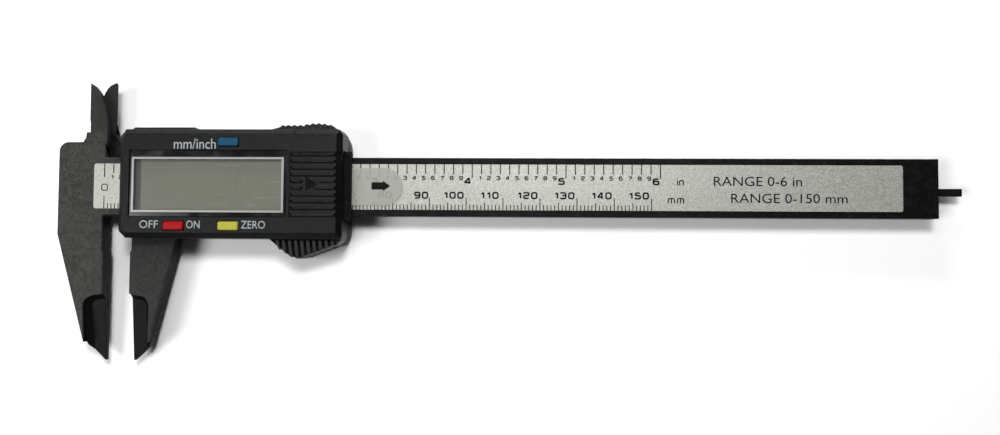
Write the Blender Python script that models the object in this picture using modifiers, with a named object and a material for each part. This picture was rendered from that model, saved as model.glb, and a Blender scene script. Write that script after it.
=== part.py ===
"""Digital caliper with a 150 mm range: plastic beam, sliding head, display and depth rod.

Frame: the origin is on the back face of the beam, in the plane of the fixed jaw's measuring
face. +X runs along the beam towards the depth rod's tip, +Y towards the inside jaws and +Z
out of the display. Lengths are written in millimetres and turned into metres by MM.
"""
import math

import bmesh
import bpy
from mathutils import Matrix, Vector

MM = 0.001

# ---------------------------------------------------------------- driving dimensions
OPENING = 7.6             # jaw gap in the rest position
BEAM_HALF_WIDTH = 7.95
BEAM_THICKNESS = 5.2
BEAM_END = 225.9
SCALE_START, SCALE_END = -3.0, 216.6
SCALE_HALF_WIDTH = 6.25
SCALE_RECESS = 0.65

BODY_LEFT = -12.9         # outer side of the fixed jaw's body
BODY_TOP = 12.15
OUTER_JAW_TIP = -48.1     # Y of the outside jaws' tips
INNER_JAW_TIP = 29.0      # Y of the inside jaws' tips
INSIDE_EDGE = -5.6        # X of the fixed inside jaw's measuring edge
MIDPLANE = 2.6            # Z where the two inside jaws pass each other
MIDPLANE_GAP = 0.15

HEAD_LEFT, HEAD_RIGHT = 6.6, 67.2
HEAD_BOTTOM, HEAD_TOP = -14.35, 15.05
HEAD_BACK, HEAD_FACE = -3.3, 11.5
SEAM_BACK = -0.3          # back plate meets the carriage
SEAM_FRONT = 2.5          # carriage meets the front cover
SEAM_GAP = 0.1
WALL = 1.3
CEILING = HEAD_FACE - WALL
CHAMFER = 1.4
CHANNEL_GAP = 0.25        # clearance of the beam in the carriage

CARRIAGE_LEFT = 7.95
CORE_TOP = 5.5            # top of the carriage's rails, just above the beam
BRIDGE_TOP = 6.9
BAY_FLOOR = 5.85

WINDOW_X = (9.7, 52.5)
WINDOW_Y = (-8.62, 9.3)
FRAME_X = (10.3, 51.6)
FRAME_Y = (-7.45, 7.42)
FRAME_BAR = 0.6
PCB_Z = (5.6, 6.4)
GLASS_Z = (7.7, 9.5)

BUTTON_SIZE = (5.5, 2.3)
BUTTON_PROUD = 0.55
BUTTONS = {
    "mm_inch": (36.6, 11.45, "button_blue"),
    "power": (22.1, -11.05, "button_red"),
    "zero": (36.9, -11.05, "button_yellow"),
}

DOOR_X = (53.3, 67.1)
DOOR_Y = (-8.45, 8.65)
DOOR_Z = (10.55, HEAD_FACE)
DOOR_RIDGE_PITCH = 1.79
DOOR_RIDGE_X = (53.9, 65.3)
DOOR_RIDGE_WIDTH = 0.65
DOOR_RIDGE_HEIGHT = 0.2
DOOR_PIT_DEPTH = 0.35
DOOR_LINE_WIDTH = 0.30    # groove at the foot of each ridge's step
CELL_CENTRE_X = 59.7
CELL_RADIUS = 5.8
CELL_Z = (6.3, 10.4)

ROD_Y, ROD_WIDTH = -0.75, 2.05
ROD_Z = (0.45, 1.85)

SCREW_PLACES = [(10.4, -11.0), (10.4, 11.6), (63.9, -11.0), (63.9, 11.6)]
PCB_SCREW_PLACES = [(15.0, -10.6), (50.0, 11.0)]

RIB_PITCH = 1.65
RIB_START = 50.3
RIB_COUNT = 9
RIB_DEPTH = 0.4
COMB_SHIFT = 0.03         # keeps the grooves off the corners of the ribs

MATERIALS = {
    # name: (base colour, roughness, metallic)
    "beam_plastic": ((0.060, 0.058, 0.052), 0.55, 0.0),
    "head_plastic": ((0.035, 0.036, 0.037), 0.50, 0.0),
    "silver_label": ((0.62, 0.64, 0.62), 0.38, 0.6),
    "window_black": ((0.012, 0.012, 0.014), 0.12, 0.0),
    "frame_silver": ((0.62, 0.63, 0.64), 0.35, 0.5),
    "lcd_glass": ((0.21, 0.22, 0.17), 0.20, 0.0),
    "holder_plastic": ((0.05, 0.05, 0.05), 0.55, 0.0),
    "board_green": ((0.02, 0.12, 0.05), 0.45, 0.0),
    "epoxy_black": ((0.01, 0.01, 0.01), 0.30, 0.0),
    "elastomer": ((0.10, 0.10, 0.11), 0.80, 0.0),
    "button_blue": ((0.03, 0.12, 0.30), 0.40, 0.0),
    "button_red": ((0.52, 0.01, 0.015), 0.40, 0.0),
    "button_yellow": ((0.62, 0.56, 0.12), 0.40, 0.0),
    "steel": ((0.55, 0.56, 0.57), 0.28, 1.0),
    "brass": ((0.75, 0.58, 0.28), 0.30, 1.0),
    "film": ((0.55, 0.56, 0.53), 0.35, 0.0),
}


# ---------------------------------------------------------------- scene and materials
def clear_scene():
    for obj in list(bpy.data.objects):
        bpy.data.objects.remove(obj, do_unlink=True)
    for collection in list(bpy.data.collections):
        bpy.data.collections.remove(collection)


def new_collection(name):
    collection = bpy.data.collections.new(name)
    bpy.context.scene.collection.children.link(collection)
    return collection


def make_material(node_name, finish):
    colour, roughness, metallic = MATERIALS[finish]
    material = bpy.data.materials.new(f"{node_name}_{finish}")
    material.use_nodes = True
    shader = material.node_tree.nodes["Principled BSDF"]
    shader.inputs["Base Color"].default_value = (*colour, 1.0)
    shader.inputs["Roughness"].default_value = roughness
    shader.inputs["Metallic"].default_value = metallic
    return material


clear_scene()
PARTS = new_collection("digital_caliper")
CUTTERS = new_collection("cutters")


def finish_part(obj, name, finish, parent=None):
    """Names a shape, gives it its own material and makes it a part."""
    obj.name = name
    obj.data.name = name
    obj.data.materials.clear()
    obj.data.materials.append(make_material(name, finish))
    for collection in list(obj.users_collection):
        collection.objects.unlink(obj)
    PARTS.objects.link(obj)
    if parent is not None:
        obj.parent = parent
    return obj


# ---------------------------------------------------------------- shapes
def link_tool(name, mesh):
    """A new object in the cutters collection, which finish_part moves if it becomes a part."""
    obj = bpy.data.objects.new(name, mesh)
    CUTTERS.objects.link(obj)
    return obj


def mesh_from(name, bm):
    bmesh.ops.recalc_face_normals(bm, faces=bm.faces)
    mesh = bpy.data.meshes.new(name)
    bm.to_mesh(mesh)
    bm.free()
    return mesh


def block(name, x, y, z):
    """A box between two corners, with its origin in its middle."""
    size = Vector((x[1] - x[0], y[1] - y[0], z[1] - z[0])) * MM
    bm = bmesh.new()
    bmesh.ops.create_cube(bm, size=1.0, matrix=Matrix.Diagonal((*size, 1.0)))
    obj = link_tool(name, mesh_from(name, bm))
    obj.location = Vector((x[0] + x[1], y[0] + y[1], z[0] + z[1])) * (MM / 2)
    return obj


def disc(name, centre, radius, z, top_radius=None, sides=32):
    """An upright round bar, or a cone when top_radius is given."""
    bm = bmesh.new()
    bmesh.ops.create_cone(
        bm, cap_ends=True, segments=sides, radius1=radius * MM,
        radius2=(radius if top_radius is None else top_radius) * MM, depth=(z[1] - z[0]) * MM)
    mesh = mesh_from(name, bm)
    mesh.shade_smooth()
    mesh.set_sharp_from_angle(angle=math.radians(35))
    obj = link_tool(name, mesh)
    obj.location = Vector((centre[0], centre[1], (z[0] + z[1]) / 2)) * MM
    return obj


AXIS_FRAMES = {
    "Z": Matrix(((1, 0, 0), (0, 1, 0), (0, 0, 1))),    # outline is (x, y)
    "X": Matrix(((0, 0, 1), (1, 0, 0), (0, 1, 0))),    # outline is (y, z)
    "Y": Matrix(((1, 0, 0), (0, 0, -1), (0, 1, 0))),   # outline is (x, z)
}


def extrusion(name, outline, low, high, axis="Z"):
    """A closed outline extruded along an axis from low to high."""
    curve = bpy.data.curves.new(name, "CURVE")
    curve.dimensions = "2D"
    curve.fill_mode = "BOTH"
    curve.extrude = (high - low) / 2 * MM
    spline = curve.splines.new("POLY")
    spline.points.add(len(outline) - 1)
    for point, (u, v) in zip(spline.points, outline):
        point.co = (u * MM, v * MM, 0.0, 1.0)
    spline.use_cyclic_u = True
    guide = bpy.data.objects.new(name + "_curve", curve)
    CUTTERS.objects.link(guide)
    turn = AXIS_FRAMES[axis].to_4x4()
    along = -1 if axis == "Y" else 1
    guide.matrix_world = turn @ Matrix.Translation((0, 0, along * (low + high) / 2 * MM))
    bpy.context.view_layer.update()
    depsgraph = bpy.context.evaluated_depsgraph_get()
    mesh = bpy.data.meshes.new_from_object(guide.evaluated_get(depsgraph))
    bm = bmesh.new()
    bm.from_mesh(mesh)
    bmesh.ops.remove_doubles(bm, verts=bm.verts, dist=0.001 * MM)
    bmesh.ops.dissolve_limit(bm, angle_limit=math.radians(0.5), verts=bm.verts, edges=bm.edges)
    bmesh.ops.recalc_face_normals(bm, faces=bm.faces)
    bm.to_mesh(mesh)
    bm.free()
    obj = link_tool(name, mesh)
    obj.matrix_world = guide.matrix_world
    bpy.data.objects.remove(guide, do_unlink=True)
    return obj


def chamfer_top(obj, width, height):
    """Cuts the edges around the faces that lie at the given local height."""
    bm = bmesh.new()
    bm.from_mesh(obj.data)
    top = height * MM
    rim = [e for e in bm.edges if all(abs(v.co.z - top) < 0.001 * MM for v in e.verts)]
    bmesh.ops.bevel(bm, geom=rim, offset=width * MM, segments=1, affect="EDGES")
    bm.to_mesh(obj.data)
    bm.free()
    return obj


def round_edges(obj, width, segments=3):
    bevel = obj.modifiers.new("rounded", "BEVEL")
    bevel.width = width * MM
    bevel.segments = segments
    bevel.limit_method = "ANGLE"
    return obj


def combine(obj, tools, operation):
    for tool in tools:
        modifier = obj.modifiers.new(f"{operation.lower()}_{tool.name}", "BOOLEAN")
        modifier.operation = operation
        modifier.solver = "EXACT"
        modifier.object = tool
        tool.display_type = "WIRE"
        tool.hide_render = True
    return obj


def cut(obj, *tools):
    return combine(obj, tools, "DIFFERENCE")


def add(obj, *tools):
    return combine(obj, tools, "UNION")


def arc(centre, radius, start, end, steps):
    """Points on an arc, angles in degrees."""
    angles = [math.radians(start + (end - start) * i / steps) for i in range(steps + 1)]
    return [(centre[0] + radius * math.cos(a), centre[1] + radius * math.sin(a)) for a in angles]


def rectangle(x, y):
    return [(x[0], y[0]), (x[1], y[0]), (x[1], y[1]), (x[0], y[1])]


def ring(name, outer_x, outer_y, bar, z):
    """A flat rectangular frame."""
    frame = extrusion(name, rectangle(outer_x, outer_y), *z)
    hole = block(name + "_hole", (outer_x[0] + bar, outer_x[1] - bar),
                 (outer_y[0] + bar, outer_y[1] - bar), (z[0] - 1, z[1] + 1))
    return cut(frame, hole)


# ---------------------------------------------------------------- beam with the fixed jaws
def nib_cutter(name, outline, tilt_degrees=6.0, floor=3.0, shoulder=-29.7, ramp=1.5):
    """Thins an outside jaw towards its tip: a tilted solid with a sloping rim underneath."""
    height = 8.0
    cutter = extrusion(name, [(x, y - shoulder) for x, y in outline], 0.0, height)
    chamfer_top(cutter, ramp, -height / 2)
    cutter.data.transform(Matrix.Translation((0.0, 0.0, height / 2 * MM)))
    cutter.matrix_world = Matrix.Translation(Vector((0.0, shoulder, floor)) * MM)
    cutter.rotation_euler = (math.radians(tilt_degrees), 0.0, 0.0)
    return cutter


def fixed_nib_outline():
    corner = arc((-2.3, -32.9), 3.0, 180, 96, 6)
    return [(4.0, -54.0), (-4.4, -54.0), (-4.81, -43.9), (-5.16, -36.9), *corner,
            (0.4, -29.5), (4.0, -29.4)]


def moving_nib_outline():
    corner = arc((10.2, -32.7), 2.85, 78, 0, 6)
    return [(4.0, -54.0), (4.0, -29.2), (7.65, -29.35), *corner, (13.02, -44.0), (13.02, -54.0)]


def bevel_cutter(name, edge_x, edge_z, flat_x, flat_z, y):
    """Takes a wedge off an inside jaw, from its measuring edge up to its flat."""
    run, rise = flat_x - edge_x, flat_z - edge_z
    start = (edge_x - run, edge_z - rise)
    end = (flat_x + run, flat_z + rise)
    outline = [start, end, (start[0], end[1])]
    return extrusion(name, outline, *y, axis="Y")


def fixed_body_outline():
    corner = arc((BODY_LEFT + 2.6, BODY_TOP - 2.6), 2.6, 180, 90, 6)
    return [
        (0.0, BODY_TOP), (0.0, -BEAM_HALF_WIDTH), (-0.4, -BEAM_HALF_WIDTH - 0.5), (-0.4, -17.6),
        (0.0, -18.6), (0.0, OUTER_JAW_TIP), (-0.5, OUTER_JAW_TIP), (-4.5, -43.9), (-4.8, -43.2),
        (BODY_LEFT, -13.3), *corner,
    ]


def fixed_inside_jaw_outline():
    return [
        (INSIDE_EDGE, INNER_JAW_TIP), (INSIDE_EDGE, 18.7), (INSIDE_EDGE + 0.2, 17.9),
        (INSIDE_EDGE + 0.2, 14.9), (INSIDE_EDGE, 13.4), (-6.2, 12.4), (-7.0, BODY_TOP - 1.0),
        (0.0, BODY_TOP - 1.0), (0.4, BODY_TOP), (0.4, 18.3), (-0.5, 22.4), (-1.7, 25.2),
        (-2.75, INNER_JAW_TIP - 2.2), (-3.75, INNER_JAW_TIP - 1.1),
    ]


def make_beam():
    thickness = (0.0, BEAM_THICKNESS)
    beam = extrusion("beam_core", rectangle((-8.0, BEAM_END), (-BEAM_HALF_WIDTH, BEAM_HALF_WIDTH)),
                     *thickness)
    body = extrusion("beam_body", fixed_body_outline(), *thickness)
    # the inside jaw of the slider passes behind the body's upper edge
    upper_room = block("beam_upper_room", (-14.0, 1.0), (BEAM_HALF_WIDTH + 0.2, 14.0),
                       (-1.0, MIDPLANE + MIDPLANE_GAP))
    inside_z = (MIDPLANE + MIDPLANE_GAP, BEAM_THICKNESS - 0.15)
    inside = extrusion("beam_inside_jaw", fixed_inside_jaw_outline(), *inside_z)
    wedge = bevel_cutter("beam_inside_bevel", INSIDE_EDGE, inside_z[0] + 0.1, -2.0, inside_z[1],
                         (14.9, 30.0))
    cut(inside, wedge)
    nib = nib_cutter("beam_nib", fixed_nib_outline())
    recess = block("beam_scale_recess", (SCALE_START, SCALE_END),
                   (-SCALE_HALF_WIDTH, SCALE_HALF_WIDTH),
                   (BEAM_THICKNESS - SCALE_RECESS, BEAM_THICKNESS + 1))
    groove = block("beam_rod_groove", (35.0, BEAM_END + 1),
                   (ROD_Y - ROD_WIDTH / 2 - 0.25, ROD_Y + ROD_WIDTH / 2 + 0.25),
                   (-1.0, ROD_Z[1] + 0.3))
    cut(body, upper_room, nib)
    add(beam, body, inside)
    cut(beam, recess, groove)
    finish_part(beam, "beam", "beam_plastic")

    strip_z = BEAM_THICKNESS - SCALE_RECESS + 0.05
    strip = block("scale_pcb", (SCALE_START + 0.1, SCALE_END - 0.1),
                  (-SCALE_HALF_WIDTH + 0.1, SCALE_HALF_WIDTH - 0.1), (strip_z, strip_z + 0.35))
    finish_part(strip, "scale_pcb", "board_green")
    label = block("scale_label", (SCALE_START + 0.05, SCALE_END - 0.05),
                  (-SCALE_HALF_WIDTH + 0.05, SCALE_HALF_WIDTH - 0.05),
                  (strip_z + 0.4, BEAM_THICKNESS - 0.03))
    finish_part(label, "scale_label", "silver_label")


# ---------------------------------------------------------------- outline of the sliding head
def rib(x, phase):
    """A ripple from 0 in the grooves to 1 on the ribs."""
    return 0.5 - 0.5 * math.cos(2 * math.pi * ((x - RIB_START) / RIB_PITCH + phase))


def lower_pad(x):
    """Depth of the thumb pad below the head's lower side, without its ribs."""
    peak_x, peak = 55.0, 5.4
    if x < peak_x:
        return math.sqrt(max(peak ** 2 - (peak_x - x) ** 2, 0.0))
    return peak - 0.36 * (x - peak_x)


def upper_pad(x):
    """Height of the finger pad above the head's upper side, without its ribs."""
    return max(1.45, 1.95 - (x - 59.8) ** 2 / 30.0)


def rib_stations():
    steps = 4
    return [RIB_START + RIB_PITCH * i / steps for i in range(steps * (RIB_COUNT - 1) + 1)]


def lower_pad_edge():
    points = [(47.2, HEAD_BOTTOM), (49.3, HEAD_BOTTOM - 1.9), (49.7, HEAD_BOTTOM - 3.0)]
    points += [(x, HEAD_BOTTOM - lower_pad(x) + RIB_DEPTH * (1 - rib(x, 0.0)))
               for x in rib_stations()]
    return points + [(65.4, -16.0), (66.7, -14.8), (HEAD_RIGHT, -13.3)]


def upper_pad_edge():
    points = [(66.9, 12.6), (66.2, 14.0), (65.2, 15.2), (64.2, 16.0)]
    points += [(x, HEAD_TOP + upper_pad(x) - RIB_DEPTH * (1 - rib(x, 0.5)))
               for x in reversed(rib_stations())]
    return points + [(49.8, HEAD_TOP + 0.8), (47.3, HEAD_TOP)]


def head_outline(left):
    return [(left, HEAD_BOTTOM), *lower_pad_edge(), (HEAD_RIGHT, 11.2), *upper_pad_edge(),
            (left, HEAD_TOP)]


def gib_housing(name, z):
    """The strip above the head's upper side, over the spring that guides the beam."""
    outline = [(6.2, HEAD_TOP - 1.0), (26.7, HEAD_TOP - 1.0), (26.7, HEAD_TOP), (24.0, 16.63),
               (7.0, 16.63), (6.2, 16.0)]
    return extrusion(name, outline, *z)


def screw_holes(name, radius, z):
    return [disc(f"{name}_{i}", place, radius, z, sides=20)
            for i, place in enumerate(SCREW_PLACES, 1)]


# ---------------------------------------------------------------- carriage with the moving jaws
def moving_jaw_outline():
    face = OPENING
    return [
        (face + 0.4, -10.0), (face + 0.4, -17.4), (face, -18.4), (face, OUTER_JAW_TIP),
        (face + 0.5, OUTER_JAW_TIP), (12.6, -44.0), (13.0, -43.1), (20.3, -14.3), (20.3, -10.0),
    ]


def moving_inside_jaw_outline():
    edge = INSIDE_EDGE + OPENING
    low = BEAM_HALF_WIDTH + CHANNEL_GAP
    return [
        (edge, INNER_JAW_TIP - 0.5), (edge, 18.7), (edge - 0.2, 17.9), (edge - 0.2, 14.3), (edge + 0.2, 13.3),
        (edge + 1.1, 12.4), (10.0, 12.2), (10.0, low), (edge - 6.0, low), (edge - 6.0, 18.3),
        (edge - 5.1, 22.3), (edge - 4.0, 25.8), (edge - 3.0, INNER_JAW_TIP - 1.4),
        (edge - 2.3, INNER_JAW_TIP - 0.7),
        (edge - 0.9, INNER_JAW_TIP), (edge - 0.35, INNER_JAW_TIP),
    ]


def make_carriage(head):
    flange_z = (SEAM_BACK + SEAM_GAP / 2, SEAM_FRONT - SEAM_GAP / 2)
    flange = extrusion("carriage_flange", head_outline(CARRIAGE_LEFT), *flange_z)
    housing = gib_housing("carriage_gib_housing", flange_z)
    core = block("carriage_core", (8.5, 65.7), (-12.9, 13.55), (1.0, CORE_TOP))
    bridge = block("carriage_bridge", (8.5, 12.3), (-12.9, 13.55), (CORE_TOP - 1, BRIDGE_TOP))
    bay = block("carriage_battery_bay", (53.2, 66.0), (-7.2, 7.2), (CORE_TOP - 1, 10.3))
    floor = block("carriage_bay_floor", (53.2, 65.7), (-9.2, 9.2), (CORE_TOP - 1, BAY_FLOOR))
    jaw = extrusion("carriage_jaw", moving_jaw_outline(), 0.0, BEAM_THICKNESS)
    cut(jaw, nib_cutter("carriage_nib", moving_nib_outline()))
    arm_z = (0.0, MIDPLANE - MIDPLANE_GAP)
    inside = extrusion("carriage_inside_jaw", moving_inside_jaw_outline(), *arm_z)
    edge = INSIDE_EDGE + OPENING
    wedge = bevel_cutter("carriage_inside_bevel", edge, arm_z[1] - 0.1, edge - 3.6, arm_z[0],
                         (14.9, 30.0))
    cut(inside, wedge)
    reach = BEAM_HALF_WIDTH + CHANNEL_GAP
    lip_z = (6.35, 7.05)
    lip = block("carriage_lip", (68.3, 69.0), (-reach - 1.2, reach + 1.2), lip_z)
    arms = [block(f"carriage_lip_arm_{side}", (65.0, 68.6),
                  (min(side * reach, side * (reach + 1.1)), max(side * reach, side * (reach + 1.1))),
                  (3.0, lip_z[1])) for side in (-1, 1)]
    roof = block("carriage_roof", (65.0, 68.6), (-reach - 0.6, reach + 0.6), (lip_z[0], 6.8))
    add(flange, core, bridge, bay, floor, jaw, inside, housing)
    channel = block("carriage_channel", (-20.0, 80.0), (-reach, reach), (-2.0, CORE_TOP))
    cell = disc("carriage_cell_room", (CELL_CENTRE_X, 0.0), CELL_RADIUS + 0.25, (BAY_FLOOR, 11.0),
                sides=48)
    film_slot = block("carriage_film_slot", (60.0, 67.0), (-5.6, 5.6), (BAY_FLOOR, 6.35))
    plus_slot = block("carriage_plus_slot", (52.5, 54.5), (-2.2, 2.2), (BAY_FLOOR, 11.0))
    minus_slot = block("carriage_minus_slot", (52.5, 57.0), (-4.9, -2.3), (BAY_FLOOR, 6.9))
    gib_slot = block("carriage_gib_slot", (20.0, 50.0), (reach - 1.0, reach + 0.6), (1.0, 4.4))
    pilots = [disc(f"carriage_pilot_{i}", place, 0.8, (3.0, 7.0), sides=16)
              for i, place in enumerate(PCB_SCREW_PLACES, 1)]
    cut(flange, channel)
    add(flange, lip, roof, *arms)
    cut(flange, cell, film_slot, plus_slot, minus_slot, gib_slot, *pilots)
    cut(flange, *screw_holes("carriage_screw_hole", 1.0, (-2.0, 9.0)))
    finish_part(flange, "carriage", "head_plastic", head)

    gib = block("gib_spring", (20.3, 49.7), (reach - 0.12, reach + 0.28), (1.3, 4.1))
    finish_part(gib, "gib_spring", "brass", head)


# ---------------------------------------------------------------- back of the head
def make_back(head):
    plate = extrusion("back_plate", head_outline(CARRIAGE_LEFT), HEAD_BACK,
                      SEAM_BACK - SEAM_GAP / 2)
    foot_room = block("back_foot_room", (51.6, 57.6), (ROD_Y - 1.6, ROD_Y + 1.6), (-1.95, 1.0))
    hollow = [block("back_hollow_left", (14.0, 32.0), (-6.5, 6.5), (-1.8, 1.0)),
              block("back_hollow_right", (34.0, 49.5), (-6.5, 6.5), (-1.8, 1.0))]
    cut(plate, foot_room, *hollow)
    cut(plate, *screw_holes("back_screw_hole", 1.0, (-5.0, 1.0)))
    cut(plate, *screw_holes("back_counterbore", 1.85, (-5.0, -2.0)))
    finish_part(plate, "back_plate", "head_plastic", head)

    for i, place in enumerate(SCREW_PLACES, 1):
        screw = disc(f"case_screw_{i}", place, 1.6, (-3.15, -2.1), sides=24)
        shank = disc(f"case_screw_shank_{i}", place, 0.8, (-2.5, 9.2), sides=16)
        add(screw, shank)
        turn = math.radians(35 + 40 * i)
        for arm in (0, 1):
            slot = block(f"case_screw_slot_{i}_{arm}", (-1.05, 1.05), (-0.17, 0.17), (-0.35, 0.35))
            slot.location = Vector((place[0], place[1], -3.15)) * MM
            slot.rotation_euler = (0.0, 0.0, turn + arm * math.pi / 2)
            cut(screw, slot)
        finish_part(screw, f"case_screw_{i}", "steel", head)

    rod_y = (ROD_Y - ROD_WIDTH / 2, ROD_Y + ROD_WIDTH / 2)
    rod = block("depth_rod", (52.0, BEAM_END + OPENING), rod_y, ROD_Z)
    foot = block("depth_rod_foot", (52.0, 57.2), rod_y, (-1.85, ROD_Z[0] + 0.4))
    add(rod, foot)
    finish_part(rod, "depth_rod", "beam_plastic", head)


# ---------------------------------------------------------------- electronics
def make_electronics(head):
    board = block("main_pcb", (12.6, 52.8), (-12.7, 13.3), PCB_Z)
    holes = [disc(f"pcb_hole_{i}", place, 0.9, (5.0, 7.0), sides=16)
             for i, place in enumerate(PCB_SCREW_PLACES, 1)]
    cut(board, *holes)
    finish_part(board, "main_pcb", "board_green", head)

    mounted = PCB_Z[1] + 0.05
    chip = disc("controller_chip", (31.0, -1.0), 3.2, (mounted, 7.3), top_radius=2.4, sides=28)
    finish_part(chip, "controller_chip", "epoxy_black", head)
    zebra = block("display_connector", (13.0, 49.0), (6.8, 7.9), (mounted, GLASS_Z[0] - 0.05))
    finish_part(zebra, "display_connector", "elastomer", head)
    for i, place in enumerate(PCB_SCREW_PLACES, 1):
        screw = disc(f"pcb_screw_{i}", place, 1.3, (mounted, 6.95), sides=20)
        add(screw, disc(f"pcb_screw_shank_{i}", place, 0.7, (3.4, mounted + 0.2), sides=16))
        finish_part(screw, f"pcb_screw_{i}", "steel", head)
    for name, (x, y, _) in BUTTONS.items():
        dome = disc(f"contact_dome_{name}", (x, y), 1.5, (mounted, 6.85), top_radius=0.8, sides=24)
        finish_part(dome, f"contact_dome_{name}", "steel", head)

    glass = block("lcd_glass", (10.8, 51.2), (-8.2, 8.2), GLASS_Z)
    finish_part(glass, "lcd_glass", "lcd_glass", head)
    holder = ring("display_holder", (9.9, 52.1), (-9.1, 9.1), 0.75, (7.0, 9.8))
    finish_part(holder, "display_holder", "holder_plastic", head)

    cell = disc("battery_cell", (CELL_CENTRE_X, 0.0), CELL_RADIUS, CELL_Z, sides=48)
    finish_part(cell, "battery_cell", "steel", head)
    plus = block("battery_contact_positive", (53.35, 53.6), (-1.8, 1.8), (6.5, 9.8))
    add(plus, block("contact_plus_foot", (50.6, 53.5), (-1.2, 1.2), (mounted, 6.7)))
    finish_part(plus, "battery_contact_positive", "brass", head)
    minus = block("battery_contact_negative", (52.9, 61.5), (-4.6, -2.6), (5.9, 6.05))
    add(minus,
        block("contact_minus_riser", (52.9, 53.1), (-4.6, -2.6), (5.95, 6.7)),
        block("contact_minus_foot", (50.6, 53.0), (-4.4, -2.8), (mounted, 6.65)))
    finish_part(minus, "battery_contact_negative", "brass", head)


# ---------------------------------------------------------------- front cover and display
def cover_outline():
    return [
        (HEAD_LEFT, -12.5), (HEAD_LEFT + 1.8, HEAD_BOTTOM), (HEAD_RIGHT, HEAD_BOTTOM),
        (HEAD_RIGHT, HEAD_TOP), (HEAD_LEFT + 1.5, HEAD_TOP), (HEAD_LEFT, 13.0),
    ]


def cover_corner_cutter(name, cut_x, cut_y, corner_y):
    """Takes the sharp corner off the cover's right end."""
    outline = [(HEAD_RIGHT - cut_x, corner_y), (HEAD_RIGHT + 1, corner_y * 1.1),
               (HEAD_RIGHT + 0.01, corner_y - math.copysign(cut_y, corner_y))]
    return extrusion(name, outline, 0.0, 14.0)


def pad_groove_comb(name, side, origin_y, origin_z, slope):
    """V grooves across the sloping front of a pad, one for each rib."""
    bm = bmesh.new()
    length = 7.0
    for i in range(RIB_COUNT):
        x = RIB_START + RIB_PITCH * (i + (0.0 if side < 0 else 0.5)) + COMB_SHIFT
        middle = Matrix.Translation(Vector((x, side * length / 2, 0.0)) * MM)
        size = Matrix.Diagonal((*(Vector((0.56, length, 0.56)) * MM), 1.0))
        turn = Matrix.Rotation(math.radians(45), 4, "Y")
        bmesh.ops.create_cube(bm, size=1.0, matrix=middle @ turn @ size)
    comb = link_tool(name, mesh_from(name, bm))
    comb.location = Vector((0.0, origin_y, origin_z)) * MM
    comb.rotation_euler = (-side * math.radians(slope), 0.0, 0.0)
    return comb


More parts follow.
